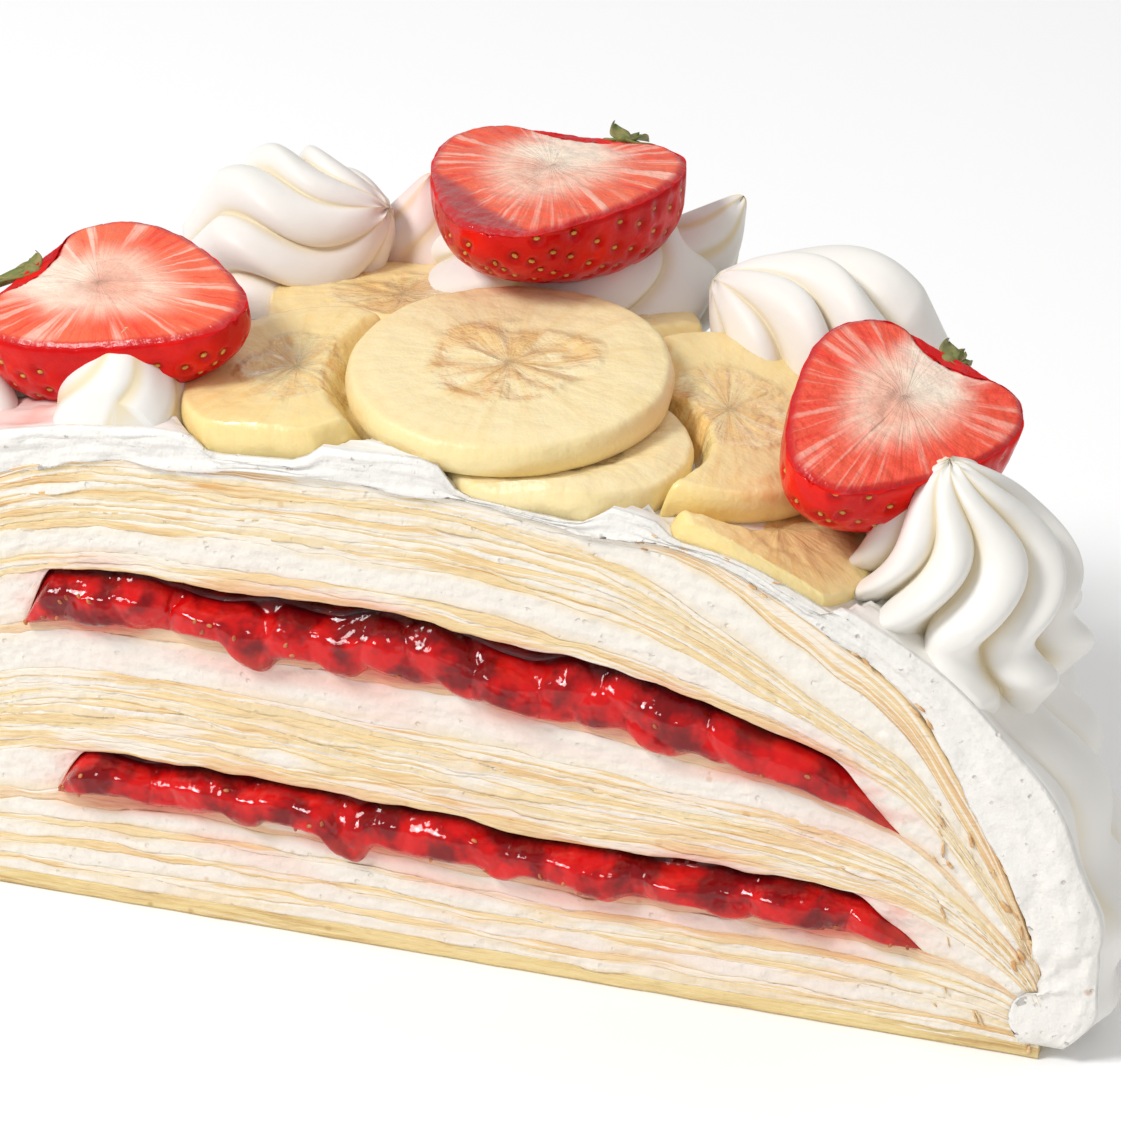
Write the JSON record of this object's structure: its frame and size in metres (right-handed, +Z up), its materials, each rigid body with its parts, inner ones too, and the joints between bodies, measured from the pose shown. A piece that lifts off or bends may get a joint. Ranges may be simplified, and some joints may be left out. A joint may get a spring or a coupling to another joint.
{
  "type": "half crepe cake",
  "caption": "Half of a domed crepe cake with jam layers at its cut face, coated in whipped cream and topped with banana slices and halved strawberries.",
  "frame": {"origin": "middle of the underside of the part's box, on the board that the cake rests on", "axes": "+X along the cut face towards its right end, +Y back from the cut face, +Z up"},
  "size_m": [0.1496, 0.0758, 0.0757],
  "materials": {
    "crepe": "thin soft pancake, pale gold with browned edges",
    "stained_crepe": "pancake stained pink by the jam on it",
    "cream": "whipped cream, soft and slightly porous",
    "jam": "glossy red strawberry jam with lumps of fruit",
    "banana": "moist banana slice with a wet core and a yellow edge",
    "berry": "glossy strawberry skin with golden seeds and a pale streaked cut face",
    "leaf": "dull green strawberry cap, dry and brown at its tips"
  },
  "bodies": {
    "root": {"crepe_01": "crepe", "cream_01": "cream", "crepe_02": "crepe", "cream_02": "cream", "crepe_03": "crepe", "cream_03": "cream", "crepe_04": "crepe", "cream_04": "cream", "crepe_05": "stained_crepe", "jam_lower": "jam", "cream_ring_lower": "cream", "crepe_06": "crepe", "crepe_07": "crepe", "cream_05": "cream", "crepe_08": "crepe", "cream_06": "cream", "crepe_09": "crepe", "cream_07": "cream", "crepe_10": "crepe", "cream_08": "cream", "crepe_11": "crepe", "cream_09": "cream", "crepe_12": "stained_crepe", "jam_upper": "jam", "cream_ring_upper": "cream", "crepe_13": "crepe", "crepe_14": "crepe", "cream_10": "cream", "crepe_15": "crepe", "cream_11": "cream", "crepe_16": "crepe", "cream_12": "cream", "crepe_17": "crepe", "cream_13": "cream", "crepe_18": "crepe", "cream_14": "cream", "crepe_19": "crepe", "strawberry_left": "berry", "calyx_left": "leaf", "strawberry_middle": "berry", "calyx_middle": "leaf", "strawberry_right": "berry", "calyx_right": "leaf", "banana_1": "banana", "banana_2": "banana", "banana_3": "banana", "banana_4": "banana", "banana_5": "banana", "banana_6": "banana", "banana_7": "banana", "rosette_right": "cream", "rosette_left": "cream", "rosette_back_right": "cream", "rosette_back_left": "cream", "cream_peak": "cream", "cream_tip_right": "cream", "cream_tip_left": "cream", "rosette_back_middle": "cream", "cream_coat": "cream"}
  },
  "joints": []
}
